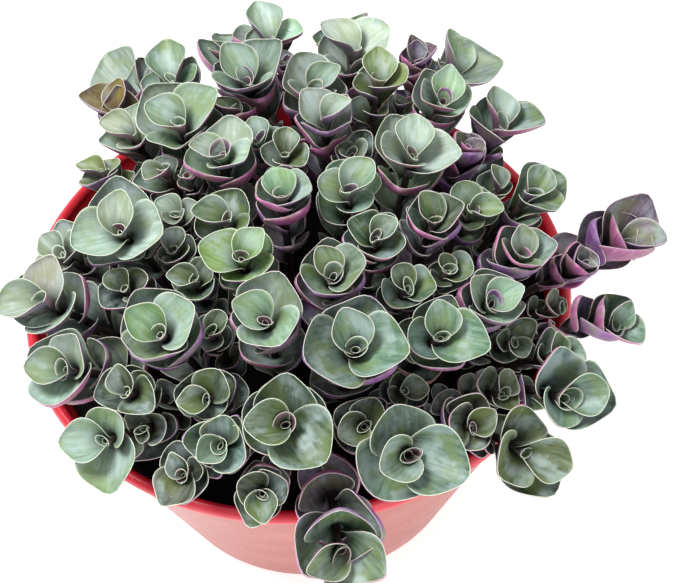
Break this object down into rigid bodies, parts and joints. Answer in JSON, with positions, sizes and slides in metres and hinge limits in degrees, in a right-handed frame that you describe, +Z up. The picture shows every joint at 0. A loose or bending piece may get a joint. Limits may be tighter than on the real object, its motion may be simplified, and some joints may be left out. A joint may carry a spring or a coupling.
{
  "type": "potted turtle vine",
  "caption": "Dense mound of short upright leafy shoots with cupped oval leaves, trailing a little over the lip of a tapered round plastic bowl pot filled with soil.",
  "frame": {"origin": "middle of the pot's flat base", "axes": "+Z up through the pot's mouth, -Y towards the side that the picture was taken from, +X to its right"},
  "size_m": [0.2276, 0.2509, 0.1761],
  "materials": {
    "pot": "semi-gloss salmon-red moulded plastic, deeper red inside the lip",
    "soil": "dark, damp, crumbly potting soil",
    "leaf": "waxy grey-green leaves with olive patches, thin cream edges and purple undersides"
  },
  "bodies": {
    "root": {"pot": "pot", "soil": "soil", "stem_01": "leaf", "stem_02": "leaf", "stem_03": "leaf", "stem_04": "leaf", "stem_05": "leaf", "stem_06": "leaf", "stem_07": "leaf", "stem_08": "leaf", "stem_09": "leaf", "stem_10": "leaf", "stem_11": "leaf", "stem_12": "leaf", "stem_13": "leaf", "stem_14": "leaf", "stem_15": "leaf", "stem_16": "leaf", "stem_17": "leaf", "stem_18": "leaf", "stem_19": "leaf", "stem_20": "leaf", "stem_21": "leaf", "stem_22": "leaf", "stem_23": "leaf", "stem_24": "leaf", "stem_25": "leaf", "stem_26": "leaf", "stem_27": "leaf", "stem_28": "leaf", "stem_29": "leaf", "stem_30": "leaf", "stem_31": "leaf", "stem_32": "leaf", "stem_33": "leaf", "stem_34": "leaf", "stem_35": "leaf", "stem_36": "leaf", "stem_37": "leaf", "stem_38": "leaf", "stem_39": "leaf", "stem_40": "leaf", "stem_41": "leaf", "stem_42": "leaf", "stem_43": "leaf", "stem_44": "leaf", "stem_45": "leaf", "stem_46": "leaf", "stem_47": "leaf", "stem_48": "leaf", "stem_49": "leaf", "stem_50": "leaf", "stem_51": "leaf", "stem_52": "leaf", "stem_53": "leaf", "stem_54": "leaf", "stem_55": "leaf", "stem_56": "leaf", "stem_57": "leaf", "stem_58": "leaf"}
  },
  "joints": []
}
